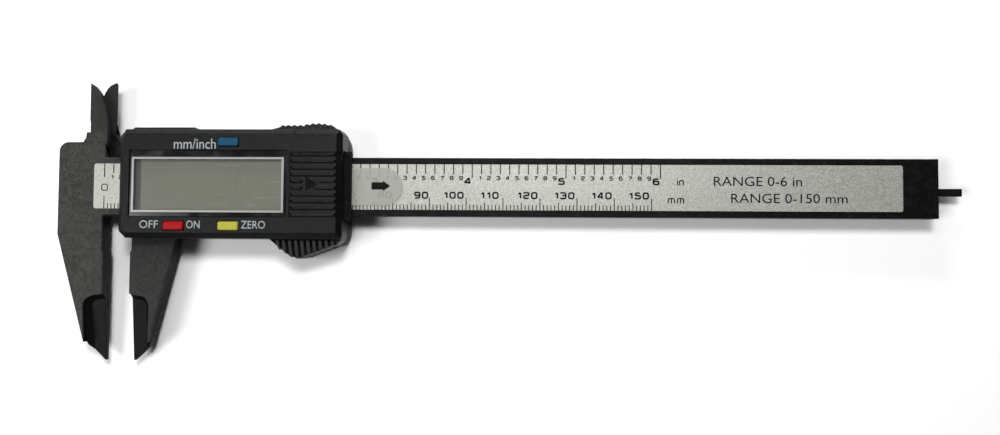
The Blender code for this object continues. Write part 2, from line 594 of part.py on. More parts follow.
def make_cover(head):
    front = SEAM_FRONT + SEAM_GAP / 2
    cover = extrusion("cover_box", cover_outline(), front, HEAD_FACE)
    chamfer_top(cover, CHAMFER, (HEAD_FACE - front) / 2)
    lower = extrusion("cover_lower_skirt", [(46.0, -13.2), *lower_pad_edge(), (66.9, -13.2)],
                      front, 9.4)
    upper = extrusion("cover_upper_skirt", [(46.0, 13.9), (66.9, 13.9), *upper_pad_edge()[2:-1],
                                            (47.3, HEAD_TOP - 0.1)], front, 9.4)
    cut(lower, extrusion("cover_lower_slope", [(HEAD_BOTTOM, 9.2), (-22.0, 5.6), (-22.0, 12.0),
                                               (HEAD_BOTTOM, 12.0)], 40.0, 70.0, axis="X"))
    cut(upper, extrusion("cover_upper_slope", [(HEAD_TOP, 9.3), (18.0, 7.8), (18.0, 12.0),
                                               (HEAD_TOP, 12.0)], 40.0, 70.0, axis="X"))
    cut(lower, pad_groove_comb("cover_lower_comb", -1, HEAD_BOTTOM - 0.2, 9.1, 33.0))
    cut(upper, pad_groove_comb("cover_upper_comb", 1, HEAD_TOP + 0.2, 9.2, 27.0))
    window = block("cover_window_hole", WINDOW_X, WINDOW_Y, (0.0, HEAD_FACE + 1))
    door = block("cover_door_hole", (DOOR_X[0] - 0.12, 70.0), (DOOR_Y[0] - 0.12, DOOR_Y[1] + 0.12),
                 (8.7, HEAD_FACE + 1))
    cut(cover, window, door, cover_corner_cutter("cover_corner_low", 0.6, 0.8, HEAD_BOTTOM),
        cover_corner_cutter("cover_corner_high", 1.0, 1.3, HEAD_TOP))
    for name, (x, y, _) in BUTTONS.items():
        half_x, half_y = BUTTON_SIZE[0] / 2 + 0.12, BUTTON_SIZE[1] / 2 + 0.12
        hole = block(f"cover_hole_{name}", (x - half_x, x + half_x), (y - half_y, y + half_y),
                     (0.0, HEAD_FACE + 1))
        cut(cover, hole)
    cavity = block("cover_cavity", (HEAD_LEFT + WALL, HEAD_RIGHT - WALL), (-13.05, 13.75),
                   (0.0, CEILING))
    rails = block("cover_rail_slots", (60.0, 70.0), (-9.35, 9.45), (9.55, CEILING - 0.02))
    beam_slot = block("cover_beam_slot", (60.0, 70.0), (-9.5, 9.5), (0.0, 8.82))
    left_room = block("cover_left_room", (6.0, HEAD_LEFT + WALL + 0.2), (-16.0, 16.0),
                      (-0.5, CORE_TOP + 0.05))
    jaw_room = block("cover_jaw_room", (6.1, 21.3), (-16.1, -12.0), (-0.6, CORE_TOP + 0.05))
    seam = block("cover_seam", (54.2, 64.7), (13.1, 13.32), (HEAD_FACE - 0.25, 12.0))
    seam_end = block("cover_seam_end", (-0.13, 0.13), (-1.15, 1.15), (-0.25, 0.25))
    seam_end.location = Vector((54.35, 14.3, 10.85)) * MM
    seam_end.rotation_euler = (math.radians(-45), 0.0, 0.0)
    cut(cover, cavity, rails, beam_slot, left_room, jaw_room, seam, seam_end)
    bosses = [disc(f"cover_boss_{i}", place, 1.7, (7.1, CEILING + 0.4), sides=24)
              for i, place in enumerate(SCREW_PLACES, 1)]
    add(cover, lower, upper, *bosses)
    cut(cover, *screw_holes("cover_boss_hole", 0.9, (6.0, 9.5)))
    finish_part(cover, "front_cover", "head_plastic", head)

    window_plate = block("display_window", (WINDOW_X[0] + 0.12, WINDOW_X[1] - 0.12),
                         (WINDOW_Y[0] + 0.12, WINDOW_Y[1] - 0.12), (10.1, 11.05))
    finish_part(window_plate, "display_window", "window_black", head)
    frame = ring("display_frame", FRAME_X, FRAME_Y, FRAME_BAR, (11.1, 11.25))
    finish_part(frame, "display_frame", "frame_silver", head)


# ---------------------------------------------------------------- pieces that move on the head
def make_buttons(head):
    for name, (x, y, finish) in BUTTONS.items():
        half_x, half_y = BUTTON_SIZE[0] / 2, BUTTON_SIZE[1] / 2
        pivot = bpy.data.objects.new(f"button_{name}_axis", None)
        PARTS.objects.link(pivot)
        pivot.parent = head
        pivot.location = Vector((x, y, HEAD_FACE)) * MM
        cap = block(f"button_{name}", (-half_x, half_x), (-half_y, half_y),
                    (-2.5, BUTTON_PROUD))
        collar = block(f"button_{name}_collar", (-half_x - 0.5, half_x + 0.5),
                       (-half_y - 0.45, half_y + 0.45), (-2.4, -1.7))
        stem = block(f"button_{name}_stem", (-1.2, 1.2), (-0.6, 0.6), (-4.15, -2.2))
        add(cap, collar, stem)
        collar.parent = stem.parent = pivot
        finish_part(cap, f"button_{name}", finish, pivot)


DOOR_ARROW = [(57.6, -1.72), (60.97, 0.24), (57.6, 2.28)]


def door_ridge(name, x, y):
    """A grip ridge that rises towards the head's lower side and ends in a step."""
    low = HEAD_FACE - 0.1
    outline = [(y, low), (y + DOOR_RIDGE_WIDTH, low), (y + DOOR_RIDGE_WIDTH, HEAD_FACE),
               (y, HEAD_FACE + DOOR_RIDGE_HEIGHT)]
    return extrusion(name, outline, *x, axis="X")


def vee(low, high, depth, over):
    """Outline of a V that cuts the door's face from low to high and ends above it."""
    middle, half = (low + high) / 2, (high - low) / 2 * (depth + over) / depth
    return [(middle - half, HEAD_FACE + over), (middle, HEAD_FACE - depth),
            (middle + half, HEAD_FACE + over)]


def door_pit(name, x, y):
    outline = vee(*x, DOOR_PIT_DEPTH, 0.3)
    return extrusion(name, outline, y, y + DOOR_RIDGE_WIDTH, axis="Y")


def door_line(name, x, y):
    """The groove under a ridge, running on into the pits beside it."""
    outline = vee(y - DOOR_LINE_WIDTH, y + 0.02, DOOR_PIT_DEPTH, 0.07)
    return extrusion(name, outline, x[0] - 0.15, x[1] + 0.15, axis="X")


def arrow_grooves():
    """Upright grooves that fill the arrow."""
    (left, low), (tip, middle), (_, high) = DOOR_ARROW
    grooves = []
    for i in range(7):
        x = left + 0.2 + 0.43 * i
        narrowing = (x - left) / (tip - left)
        y = (low + (middle - low) * narrowing, high + (middle - high) * narrowing)
        outline = vee(x - 0.15, x + 0.15, 0.3, 0.05)
        grooves.append(extrusion(f"door_arrow_groove_{i}", outline, *y, axis="Y"))
    return grooves


def make_door(head):
    door = block("battery_door", DOOR_X, DOOR_Y, DOOR_Z)
    lip = block("door_lip", (66.2, DOOR_X[1]), DOOR_Y, (8.95, DOOR_Z[0] + 0.2))
    hooks = []
    for side, inner, outer in (("low", -7.6, -9.1), ("high", 7.8, 9.2)):
        web = sorted((inner, DOOR_Y[0] if side == "low" else DOOR_Y[1]))
        hooks.append(block(f"door_web_{side}", (54.0, 66.4), web, (9.7, DOOR_Z[0] + 0.2)))
        hooks.append(block(f"door_hook_{side}", (54.0, 65.6), sorted((inner, outer)), (9.7, 10.05)))
    add(door, lip, *hooks)
    end = [(HEAD_RIGHT - CHAMFER - 0.1, HEAD_FACE), (HEAD_RIGHT - 0.1, CEILING - 0.1),
           (70.0, CEILING - 0.1), (70.0, 14.0), (HEAD_RIGHT - CHAMFER - 0.1, 14.0)]
    cut(door, extrusion("door_end_chamfer", end, -12.0, 12.0, axis="Y"))
    ridges, pits = [], []
    for i in range(10):
        y = DOOR_Y[1] - 0.8 - DOOR_RIDGE_PITCH * i
        runs = [DOOR_RIDGE_X]
        if i in (4, 5):
            runs = [(DOOR_RIDGE_X[0], 56.4), (61.2 if i == 4 else 60.2, DOOR_RIDGE_X[1])]
            pits.append(door_pit(f"door_pit_middle_{i}", (56.4, 56.8), y))
        for j, run in enumerate(runs):
            ridges.append(door_ridge(f"door_ridge_{i}_{j}", run, y))
            if i < 9:
                pits.append(door_line(f"door_line_{i}_{j}", run, y))
        pits.append(door_pit(f"door_pit_left_{i}", (DOOR_RIDGE_X[0] - 0.45, DOOR_RIDGE_X[0]), y))
        pits.append(door_pit(f"door_pit_right_{i}", (DOOR_RIDGE_X[1], DOOR_RIDGE_X[1] + 0.7), y))
    add(door, *ridges)
    cut(door, *pits, *arrow_grooves())
    finish_part(door, "battery_door", "head_plastic", head)


def make_pull_tab(head):
    half, start, end = 5.15, 58.2, 82.7
    outline = [(start, -half), *arc((end - half, 0.0), half, -90, 90, 18), (start, half)]
    thickness = 0.1
    tab = extrusion("battery_pull_tab", outline, -thickness / 2, thickness / 2)
    inside_z, outside_z = 6.17, 5.45
    bend = (66.4, 72.4)
    bm = bmesh.new()
    bm.from_mesh(tab.data)
    steps = 8
    for i in range(steps + 1):
        x = bend[0] + (bend[1] - bend[0]) * i / steps
        bmesh.ops.bisect_plane(bm, geom=[*bm.verts, *bm.edges, *bm.faces],
                               plane_co=(x * MM, 0, 0), plane_no=(1, 0, 0))
    for vert in bm.verts:
        along = min(max((vert.co.x / MM - bend[0]) / (bend[1] - bend[0]), 0.0), 1.0)
        drop = 0.5 - 0.5 * math.cos(math.pi * along)
        vert.co.z += (inside_z + (outside_z - inside_z) * drop) * MM
    bm.to_mesh(tab.data)
    bm.free()
    finish_part(tab, "battery_pull_tab", "film", head)


def main():
    make_beam()
    head = bpy.data.objects.new("slider_axis", None)
    PARTS.objects.link(head)
    make_carriage(head)
    make_back(head)
    make_electronics(head)
    make_cover(head)
    make_buttons(head)
    make_door(head)
    make_pull_tab(head)
    bpy.context.view_layer.update()


main()
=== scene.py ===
"""Looks of the digital caliper: fine edges, printed scale and legends, finishes, light, camera.

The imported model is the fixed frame, and places come from its boxes. Lengths are written in
millimetres and turned into metres by MM.
"""
import math

import bmesh
import bpy
from mathutils import Matrix, Vector


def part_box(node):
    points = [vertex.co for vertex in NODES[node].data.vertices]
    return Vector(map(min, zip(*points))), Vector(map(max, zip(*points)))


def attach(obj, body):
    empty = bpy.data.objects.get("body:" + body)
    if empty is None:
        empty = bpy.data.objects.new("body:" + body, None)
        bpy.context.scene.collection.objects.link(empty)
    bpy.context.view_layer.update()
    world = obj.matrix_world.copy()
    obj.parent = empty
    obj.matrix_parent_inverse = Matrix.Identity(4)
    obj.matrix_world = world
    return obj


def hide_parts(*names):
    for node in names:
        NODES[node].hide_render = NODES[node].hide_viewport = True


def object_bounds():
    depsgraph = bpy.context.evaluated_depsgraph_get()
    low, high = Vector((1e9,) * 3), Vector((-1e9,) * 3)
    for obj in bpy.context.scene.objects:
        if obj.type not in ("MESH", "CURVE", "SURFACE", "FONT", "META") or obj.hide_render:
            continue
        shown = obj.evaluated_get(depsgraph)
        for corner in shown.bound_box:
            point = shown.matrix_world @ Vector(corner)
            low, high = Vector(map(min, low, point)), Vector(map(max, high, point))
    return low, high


MM = 0.001
INCH = 25.4

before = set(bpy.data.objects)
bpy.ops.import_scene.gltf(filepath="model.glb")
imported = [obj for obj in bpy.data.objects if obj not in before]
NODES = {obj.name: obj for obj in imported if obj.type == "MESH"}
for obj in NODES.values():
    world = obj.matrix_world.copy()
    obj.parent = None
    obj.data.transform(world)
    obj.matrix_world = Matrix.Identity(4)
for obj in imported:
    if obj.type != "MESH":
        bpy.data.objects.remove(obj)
CAD_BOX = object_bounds()


def box_mm(node):
    """A node's lowest and highest corner in millimetres."""
    low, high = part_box(node)
    return low / MM, high / MM


X_AXIS, Y_AXIS, Z_AXIS = range(3)

# the lower thumb pad: its first groove, the step to the next, and the band where the painted light
# on its ribs begins
GROOVE_X = 50.33
GROOVE_PITCH = 1.65
PAD_PAINTED_LIGHT_Y = (-15.1, -14.7)
# the painted light grey of the pad's ribs, standing for the light they catch
RIB_PAINTED_LIGHT_GREY = (0.034, 0.034, 0.033)


# ---------------------------------------------------------------- material building
class Finish:
    """A Principled material whose detail is made from the piece's own coordinates."""

    def __init__(self, name, roughness=0.5, metallic=0.0):
        self.material = bpy.data.materials.new(name)
        self.material.use_nodes = True
        self.tree = self.material.node_tree
        self.shader = self.tree.nodes["Principled BSDF"]
        self.shader.inputs["Roughness"].default_value = roughness
        self.shader.inputs["Metallic"].default_value = metallic
        self.place = self.tree.nodes.new("ShaderNodeTexCoord").outputs["Object"]

    def node(self, kind, inputs=(), **settings):
        made = self.tree.nodes.new(kind)
        for key, value in settings.items():
            setattr(made, key, value)
        for key, value in dict(inputs).items():
            self.feed(made.inputs[key], value)
        return made

    def feed(self, socket, value):
        if isinstance(value, bpy.types.NodeSocket):
            self.tree.links.new(value, socket)
        else:
            socket.default_value = value

    def stretched(self, scale):
        """The place scaled along each axis, so that a texture is drawn out."""
        return self.node("ShaderNodeMapping", {"Vector": self.place, "Scale": scale}).outputs[0]

    def noise(self, size, detail=2.0, roughness=0.5, distortion=0.0, place=None):
        return self.node("ShaderNodeTexNoise", {
            "Vector": place or self.place, "Scale": 1.0 / (size * MM), "Detail": detail,
            "Roughness": roughness, "Distortion": distortion}).outputs["Fac"]

    def cells(self, size, place=None):
        return self.node("ShaderNodeTexVoronoi", {
            "Vector": place or self.place, "Scale": 1.0 / (size * MM)}).outputs["Color"]

    def remap(self, value, low, high, out_low, out_high):
        return self.node("ShaderNodeMapRange", {
            "Value": value, "From Min": low, "From Max": high, "To Min": out_low,
            "To Max": out_high}).outputs["Result"]

    def maths(self, operation, first, second):
        made = self.node("ShaderNodeMath", operation=operation)
        self.feed(made.inputs[0], first)
        self.feed(made.inputs[1], second)
        return made.outputs[0]

    def axis(self, index):
        split = self.node("ShaderNodeSeparateXYZ", {"Vector": self.place})
        return split.outputs[index]

    def ramp(self, index, low, high, out_low=0.0, out_high=1.0):
        """Goes from one value to another as the place passes from low to high on one axis."""
        return self.remap(self.axis(index), low * MM, high * MM, out_low, out_high)

    def mix(self, factor, first, second):
        made = self.node("ShaderNodeMix", data_type="RGBA")
        self.feed(made.inputs[0], factor)
        self.feed(made.inputs[6], first if not isinstance(first, tuple) else (*first, 1.0))
        self.feed(made.inputs[7], second if not isinstance(second, tuple) else (*second, 1.0))
        return made.outputs[2]

    def colour(self, value):
        socket = self.shader.inputs["Base Color"]
        self.feed(socket, (*value, 1.0) if isinstance(value, tuple) else value)

    def bump(self, height, depth, strength=1.0):
        made = self.node("ShaderNodeBump", {
            "Height": height, "Distance": depth * MM, "Strength": strength})
        self.feed(self.shader.inputs["Normal"], made.outputs["Normal"])

    def set(self, socket, value):
        self.feed(self.shader.inputs[socket], value)


def scaled(colour, amount):
    return tuple(channel * amount for channel in colour)


def moulded(name, colour, roughness, tone=0.15, grain=0.30, grain_depth=0.06, gloss=0.145,
            painted_pad_light=False):
    """Moulded plastic: slow changes of tone, a fine spark-eroded grain and uneven gloss. With the
    pad flag set, the ribs of the lower thumb pad get painted light, a lighter grey, and the
    grooves stay dark."""
    finish = Finish(name)
    slow = finish.noise(9.0, 3.0)
    fine = finish.noise(grain, 2.0, 0.6)
    base = finish.mix(slow, scaled(colour, 1 - tone), scaled(colour, 1 + tone))
    speck = finish.mix(finish.remap(fine, 0.35, 0.68, 0.0, 1.0), scaled(colour, 0.72), base)
    if painted_pad_light:
        # painted light: below the band, the ribs of the lower thumb pad are painted a lighter grey
        # as if lit, and the grooves keep the plain colour
        below = finish.ramp(Y_AXIS, *PAD_PAINTED_LIGHT_Y, 1.0, 0.0)
        from_first = finish.maths("SUBTRACT", finish.axis(X_AXIS), GROOVE_X * MM)
        turns = finish.maths("DIVIDE", from_first, GROOVE_PITCH * MM)
        off_groove = finish.maths("PINGPONG", turns, 0.5)
        painted_rib_light = finish.maths("MULTIPLY", below, finish.remap(off_groove, 0.2, 0.3, 0.0, 1.0))
        speck = finish.mix(painted_rib_light, speck, RIB_PAINTED_LIGHT_GREY)
    finish.colour(speck)
    worn = finish.noise(1.1, 5.0, 0.75)
    finish.set("Roughness", finish.remap(worn, 0.36, 0.64, roughness - 0.13, roughness + 0.13))
    finish.set("Specular IOR Level", gloss)
    finish.bump(finish.maths("ADD", fine, worn), grain_depth)
    return finish.material


# bands in which a jaw's colour changes, painted shade on the outside jaws' sides among them: the
# outside jaws begin, the front face ends, the back face ends, the inside jaws begin
OUTSIDE_JAW_Y = (-9.0, -8.0)
BELOW_FRONT_Z = (4.2, 4.9)
OFF_BACK_Z = (0.05, 0.3)
INSIDE_JAW_Y = (14.0, 16.5)


def mottled(name, colour, calm_colour, axis, start, end, roughness=0.50, gloss=0.08):
    """Glass-filled plastic with flow marks; calm, darker and scuffed once past end along one
    axis; painted shade on the sides of the outside jaws, the same darkening also on their
    ground-down blades; grey on the inside jaws."""
    finish = Finish(name)
    finish.set("Specular IOR Level", gloss)
    along = finish.ramp(axis, start, end)
    flow = finish.noise(2.6, 6.0, 0.68, 1.8)
    cloud = finish.noise(11.0, 3.0, 0.55, 0.6)
    fine = finish.noise(0.32, 2.0, 0.6)
    light = finish.mix(finish.remap(flow, 0.40, 0.60, 0.0, 1.0), scaled(colour, 0.55),
                       scaled(colour, 1.25))
    light = finish.mix(finish.remap(cloud, 0.35, 0.65, 0.0, 0.5), light, scaled(colour, 0.8))
    speckle = finish.node("ShaderNodeSeparateColor", {"Color": finish.cells(0.34)}).outputs[0]
    light = finish.mix(finish.remap(speckle, 0.0, 1.0, 0.0, 0.5), light, scaled(colour, 0.4))
    fleck = finish.remap(finish.noise(0.42, 2.0, 0.7), 0.60, 0.72, 0.0, 0.8)
    light = finish.mix(fleck, light, scaled(colour, 2.0))
    calm = finish.mix(finish.remap(fine, 0.35, 0.7, 0.0, 1.0), scaled(calm_colour, 0.5),
                      scaled(calm_colour, 1.6))
    scuff = finish.remap(finish.noise(2.4, 6.0, 0.72, 0.8), 0.50, 0.66, 0.0, 1.0)
    calm = finish.mix(scuff, calm, scaled(calm_colour, 4.5))
    # painted shade: below the front face and off the back face, the outside jaws are darkened to a
    # tenth; this covers their side walls and also their blades
    below = finish.ramp(Y_AXIS, *OUTSIDE_JAW_Y, 1.0, 0.0)
    side = finish.ramp(Z_AXIS, *BELOW_FRONT_Z, 1.0, 0.0)
    off_back = finish.ramp(Z_AXIS, *OFF_BACK_Z)
    shaded = finish.maths("MULTIPLY", finish.maths("MULTIPLY", below, side), off_back)
    light = finish.mix(shaded, light, scaled(colour, 0.10))
    nib = finish.ramp(Y_AXIS, *INSIDE_JAW_Y)
    nib_colour = finish.mix(flow, scaled(colour, 0.15), scaled(colour, 0.8))
    finish.colour(finish.mix(nib, finish.mix(along, light, calm), nib_colour))
    finish.set("Roughness", finish.remap(flow, 0.3, 0.7, roughness - 0.06, roughness + 0.07))
    height = finish.maths("ADD", finish.maths("MULTIPLY", flow, 0.8), fine)
    finish.bump(height, 0.022)
    return finish.material


def silver_paint(name):
    """Sprayed metallic label: flakes that sparkle, with a faint green tint."""
    finish = Finish(name, metallic=0.35)
    flake = finish.node("ShaderNodeSeparateColor", {"Color": finish.cells(0.21)}).outputs[0]
    fine = finish.noise(0.26, 2.0, 0.7)
    blend = finish.maths("MULTIPLY", finish.maths("ADD", flake, fine), 0.5)
    finish.colour(finish.mix(finish.remap(blend, 0.2, 0.8, 0.0, 1.0), (0.205, 0.210, 0.187),
                             (0.415, 0.421, 0.384)))
    finish.set("Roughness", finish.remap(flake, 0.0, 1.0, 0.34, 0.56))
    finish.bump(blend, 0.006)
    return finish.material


def ink(name, colour, roughness=0.55):
    """Screen-printed ink with slightly uneven cover."""
    finish = Finish(name, roughness)
    finish.set("Specular IOR Level", 0.07)
    cover = finish.noise(0.5, 3.0, 0.6)
    finish.colour(finish.mix(finish.remap(cover, 0.3, 0.7, 0.0, 1.0), scaled(colour, 0.8),
                             scaled(colour, 1.2)))
    finish.bump(cover, 0.003)
    return finish.material


def metal(name, colour, roughness, brushed=(1.0, 12.0, 1.0)):
    """Sheet metal with drawn marks."""
    finish = Finish(name, metallic=1.0)
    marks = finish.noise(0.6, 3.0, 0.6, place=finish.stretched(brushed))
    finish.colour(finish.mix(marks, scaled(colour, 0.82), scaled(colour, 1.12)))
    finish.set("Roughness", finish.remap(marks, 0.3, 0.7, roughness - 0.07, roughness + 0.1))
    finish.bump(marks, 0.004)
    return finish.material


def satin_frame(name):
    """Bright printed metal frame around the display."""
    finish = Finish(name, 0.38, 0.55)
    fine = finish.noise(0.3, 2.0, 0.6)
    finish.colour(finish.mix(fine, (0.21, 0.212, 0.208), (0.28, 0.282, 0.276)))
    finish.bump(fine, 0.003)
    return finish.material


def button_plastic(name, colour):
    """Glossy coloured plastic with faint haze from handling."""
    finish = Finish(name)
    slow = finish.noise(1.6, 3.0, 0.6)
    fine = finish.noise(0.18, 2.0, 0.6)
    finish.colour(finish.mix(slow, scaled(colour, 0.86), scaled(colour, 1.12)))
    finish.set("Roughness", finish.remap(slow, 0.3, 0.7, 0.34, 0.46))
    finish.set("Specular IOR Level", 0.10)
    finish.bump(fine, 0.004)
    return finish.material


def display_film(name):
    """The olive polariser of a switched-off display, with faint rubbing marks."""
    finish = Finish(name)
    cloud = finish.noise(14.0, 2.0, 0.5)
    weave = finish.noise(0.5, 2.0, 0.6, place=finish.stretched((1.0, 0.12, 1.0)))
    scratch = finish.noise(1.3, 2.0, 0.6, place=finish.stretched((0.10, 2.4, 1.0)))
    base = finish.mix(cloud, (0.080, 0.0825, 0.059), (0.099, 0.102, 0.074))
    base = finish.mix(finish.remap(weave, 0.45, 0.75, 0.0, 0.10), base, (0.165, 0.168, 0.13))
    finish.colour(finish.mix(finish.remap(scratch, 0.64, 0.78, 0.0, 0.5), base,
                             (0.24, 0.245, 0.20)))
    finish.set("Specular IOR Level", 0.2)
    finish.set("Roughness", finish.remap(weave, 0.3, 0.7, 0.30, 0.45))
    finish.bump(weave, 0.002)
    return finish.material


def window_black(name):
    """Back-printed acrylic border: deep black under a hard gloss."""
    finish = Finish(name, 0.16)
    haze = finish.noise(5.0, 4.0, 0.6)
    finish.colour(finish.mix(haze, (0.0035, 0.0035, 0.004), (0.009, 0.009, 0.010)))
    finish.set("Roughness", finish.remap(haze, 0.35, 0.7, 0.10, 0.24))
    finish.bump(haze, 0.003)
    return finish.material


def clear_sheet(name):
    """Clear acrylic, mostly seen by its reflection and faint wipe marks."""
    finish = Finish(name, 0.06)
    wipe = finish.noise(2.5, 3.0, 0.6, place=finish.stretched((0.4, 1.6, 1.0)))
    finish.colour(finish.mix(wipe, (0.60, 0.62, 0.60), (0.78, 0.79, 0.77)))
    finish.set("Roughness", finish.remap(wipe, 0.35, 0.7, 0.04, 0.14))
    finish.shader.inputs["Alpha"].default_value = 0.03
    finish.bump(wipe, 0.002)
    return finish.material


def milky_film(name):
    """Translucent plastic film with a little dust on it."""
    finish = Finish(name, 0.4)
    dust = finish.noise(0.4, 3.0, 0.6)
    finish.colour(finish.mix(finish.remap(dust, 0.3, 0.7, 0.0, 1.0), (0.365, 0.372, 0.325),
                             (0.415, 0.423, 0.372)))
    finish.set("Roughness", finish.remap(dust, 0.3, 0.7, 0.32, 0.5))
    finish.shader.inputs["Alpha"].default_value = 0.42
    finish.bump(dust, 0.003)
    return finish.material


def circuit_board(name):
    """Green solder mask over copper tracks."""
    finish = Finish(name, 0.38)
    track = finish.node("ShaderNodeTexVoronoi", {
        "Vector": finish.place, "Scale": 1.0 / (2.2 * MM)}, feature="DISTANCE_TO_EDGE")
    line = finish.remap(track.outputs["Distance"], 0.04, 0.08, 1.0, 0.0)
    finish.colour(finish.mix(line, (0.012, 0.085, 0.035), (0.05, 0.20, 0.07)))
    finish.bump(line, 0.03)
    return finish.material


def rubber(name, colour):
    """Soft elastomer with a matt, faintly striped surface."""
    finish = Finish(name, 0.8)
    stripe = finish.noise(0.4, 2.0, 0.5, place=finish.stretched((3.0, 0.3, 1.0)))
    finish.colour(finish.mix(stripe, scaled(colour, 0.6), scaled(colour, 1.4)))
    finish.bump(stripe, 0.01)
    return finish.material


def floor_paper(name):
    """Plain white paper with barely visible fibre."""
    finish = Finish(name, 0.9)
    fibre = finish.noise(3.0, 4.0, 0.6)
    finish.colour(finish.mix(fibre, (0.94, 0.94, 0.935), (0.96, 0.96, 0.955)))
    finish.set("Specular IOR Level", 0.2)
    finish.bump(fibre, 0.01)
    return finish.material


JAW_GREY = (0.0465, 0.0459, 0.0435)
MOVING_JAW_GREY = (0.035, 0.0346, 0.0328)
BEAM_BLACK = (0.0018, 0.0018, 0.0018)
HEAD_BLACK = (0.0022, 0.0022, 0.0023)

LOOKS = {
    "beam_plastic": mottled("beam_plastic", JAW_GREY, BEAM_BLACK, X_AXIS, -1.0, 14.0),
    "jaw_plastic": mottled("jaw_plastic", MOVING_JAW_GREY, BEAM_BLACK, Y_AXIS, -22.0, -8.0),
    # the head's plastic, with painted light on the ribs of the lower thumb pad
    "head_plastic": moulded("head_plastic", HEAD_BLACK, 0.40, painted_pad_light=True),
    "rod_plastic": moulded("rod_plastic", BEAM_BLACK, 0.5),
    "silver_label": silver_paint("silver_label"),
    "window_black": window_black("window_black"),
    "window_clear": clear_sheet("window_clear"),
    "frame_silver": satin_frame("frame_silver"),
    "lcd_glass": moulded("lcd_glass", (0.055, 0.056, 0.055), 0.2, grain_depth=0.002),
    "lcd_film": display_film("lcd_film"),
    "holder_plastic": moulded("holder_plastic", (0.02, 0.02, 0.02), 0.6),
    "circuit_board": circuit_board("circuit_board"),
    "epoxy": moulded("epoxy", (0.012, 0.012, 0.012), 0.32, tone=0.3, grain=1.2),
    "elastomer": rubber("elastomer", (0.10, 0.10, 0.11)),
    "button_blue": button_plastic("button_blue", (0.006, 0.052, 0.105)),
    "button_red": button_plastic("button_red", (0.290, 0.002, 0.003)),
    "button_yellow": button_plastic("button_yellow", (0.355, 0.343, 0.047)),
    "steel": metal("steel", (0.56, 0.57, 0.58), 0.30),
    "brass": metal("brass", (0.72, 0.55, 0.28), 0.32),
    "film": milky_film("film"),
    "ink_black": ink("ink_black", (0.002, 0.002, 0.002)),
    "ink_grey": ink("ink_grey", (0.31, 0.34, 0.36)),
}


def dress(obj, look):
    obj.data.materials.clear()
    obj.data.materials.append(LOOKS[look])
    return obj


# ---------------------------------------------------------------- pieces
def place_piece(obj, name, body, look):
    """Names a piece, gives it a finish and lets it ride on a body."""
    obj.name = name
    dress(obj, look)
    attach(obj, body)
    return obj


def new_object(name, bm):
    mesh = bpy.data.meshes.new(name)
    bm.to_mesh(mesh)
    bm.free()
    obj = bpy.data.objects.new(name, mesh)
    bpy.context.scene.collection.objects.link(obj)
    return obj


MERGE_DISTANCE = 0.003
FLAT_ANGLE = 0.8      # degrees below which two faces count as one
SHARP_ANGLE = 26.0    # degrees above which an edge is rounded


def clean_copy(node):
    """A node's mesh with its triangles merged back into flat faces."""
    bm = bmesh.new()
    bm.from_mesh(NODES[node].data)
    bmesh.ops.remove_doubles(bm, verts=bm.verts, dist=MERGE_DISTANCE * MM)
    bmesh.ops.dissolve_limit(bm, angle_limit=math.radians(FLAT_ANGLE), verts=bm.verts,
                             edges=bm.edges)
    bmesh.ops.recalc_face_normals(bm, faces=bm.faces)
    return bm


def soften_edges(bm, width, segments, least_area):
    """Rounds the sharp edges that are long enough, between faces that are large enough."""
    sharp = []
    for edge in bm.edges:
        if len(edge.link_faces) != 2 or edge.calc_length() < 1.2 * width * MM:
            continue
        if min(face.calc_area() for face in edge.link_faces) < least_area * MM * MM:
            continue
        if edge.calc_face_angle(0.0) > math.radians(SHARP_ANGLE):
            sharp.append(edge)
    bmesh.ops.bevel(bm, geom=sharp, offset=width * MM, segments=segments, profile=0.5,
                    affect="EDGES", clamp_overlap=False, miter_outer="SHARP",
                    offset_type="OFFSET")


def refined(node, body, look, width=0.15, segments=2, least_area=0.0, crease=40.0):
    """A finer copy of a CAD node, with rounded edges, that stands for it."""
    bm = clean_copy(node)
    soften_edges(bm, width, segments, least_area)
    for face in bm.faces:
        face.smooth = True
    obj = new_object(f"{node}_fine", bm)
    obj.data.set_sharp_from_angle(angle=math.radians(crease))
    normals = obj.modifiers.new("normals", "WEIGHTED_NORMAL")
    normals.keep_sharp = True
    place_piece(obj, obj.name, body, look)
    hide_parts(node)
    return obj


def slab(bm, x, y, z):
    """A box between two corners, in millimetres."""
    size = Vector((x[1] - x[0], y[1] - y[0], z[1] - z[0])) * MM
    middle = Vector((x[0] + x[1], y[0] + y[1], z[0] + z[1])) * (MM / 2)
    bmesh.ops.create_cube(bm, size=1.0, matrix=Matrix.Translation(middle)
                          @ Matrix.Diagonal((*size, 1.0)))


def arc(centre, radius, start, end, steps):
    """Points on an arc, angles in degrees."""
    angles = [math.radians(start + (end - start) * i / steps) for i in range(steps + 1)]
    return [(centre[0] + radius * math.cos(a), centre[1] + radius * math.sin(a)) for a in angles]


def rounded_rectangle(x, y, radius, steps=5):
    corners = (((x[1] - radius, y[1] - radius), 0), ((x[0] + radius, y[1] - radius), 90),
               ((x[0] + radius, y[0] + radius), 180), ((x[1] - radius, y[0] + radius), 270))
    points = []
    for centre, start in corners:
        points += arc(centre, radius, start, start + 90, steps)
    return points


def plate(name, outline, z):
    """A flat closed plate with a given outline."""
    bm = bmesh.new()
    rim = [bm.verts.new((x * MM, y * MM, z[0] * MM)) for x, y in outline]
    face = bm.faces.new(rim)
    raised = bmesh.ops.extrude_face_region(bm, geom=[face])["geom"]
    tops = [item for item in raised if isinstance(item, bmesh.types.BMVert)]
    bmesh.ops.translate(bm, verts=tops, vec=(0, 0, (z[1] - z[0]) * MM))
    bmesh.ops.recalc_face_normals(bm, faces=bm.faces)
    return new_object(name, bm)


